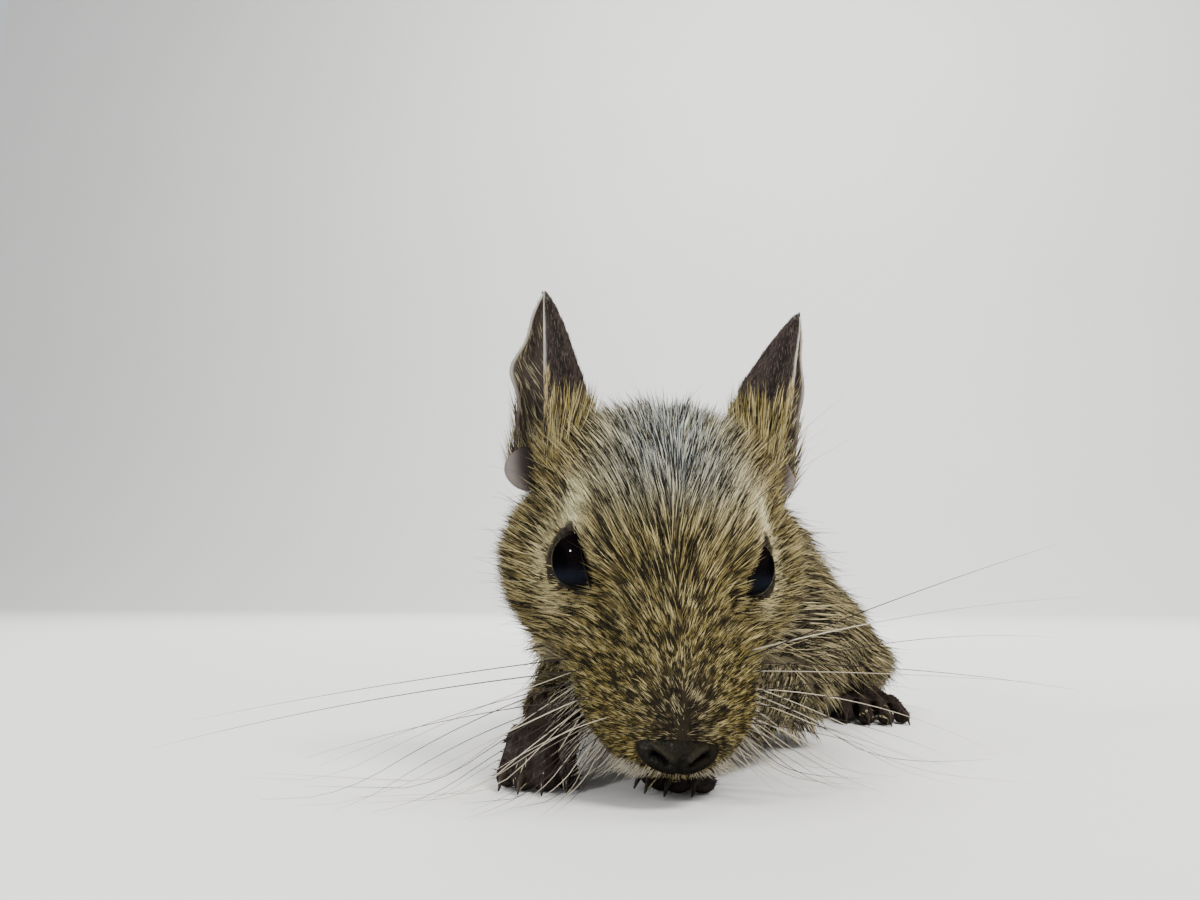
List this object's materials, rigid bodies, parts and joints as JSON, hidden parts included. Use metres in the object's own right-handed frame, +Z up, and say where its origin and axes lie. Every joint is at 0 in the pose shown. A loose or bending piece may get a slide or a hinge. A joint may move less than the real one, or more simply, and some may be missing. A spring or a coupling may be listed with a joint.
{
  "type": "degu",
  "caption": "Life-size degu crouching on the floor, head lowered and forepaws forward, with upright ears, whiskers and a brush-tipped tail.",
  "frame": {"origin": "on the floor under the middle of the belly, at the belly's own small flat", "axes": "+Z up, +Y towards the tail along the trunk, +X towards the animal's left side; the head faces -Y, turned to its left"},
  "size_m": [0.1128, 0.268, 0.065],
  "materials": {
    "coat": "agouti fur, matte",
    "tail_hair": "dark coarse hair, matte",
    "ear_skin": "thin bare skin, matte",
    "nose_skin": "moist pebbled skin, satin",
    "paw_skin": "pebbled skin, satin",
    "eye": "wet gloss",
    "whisker": "translucent bristle, satin"
  },
  "bodies": {
    "root": {"head": "coat", "neck": "coat", "torso": "coat", "thigh_left": "coat", "thigh_right": "coat", "foreleg_left": "coat", "foreleg_right": "coat", "forepaw_left": "paw_skin", "forepaw_right": "paw_skin", "hindfoot_left": "paw_skin", "hindfoot_right": "paw_skin", "nose": "nose_skin", "eye_left": "eye", "eye_right": "eye", "ear_left": "ear_skin", "ear_right": "ear_skin", "whiskers_left": "whisker", "whiskers_right": "whisker", "tail_root": "coat", "tail_middle": "tail_hair", "tail_brush": "tail_hair"}
  },
  "joints": []
}
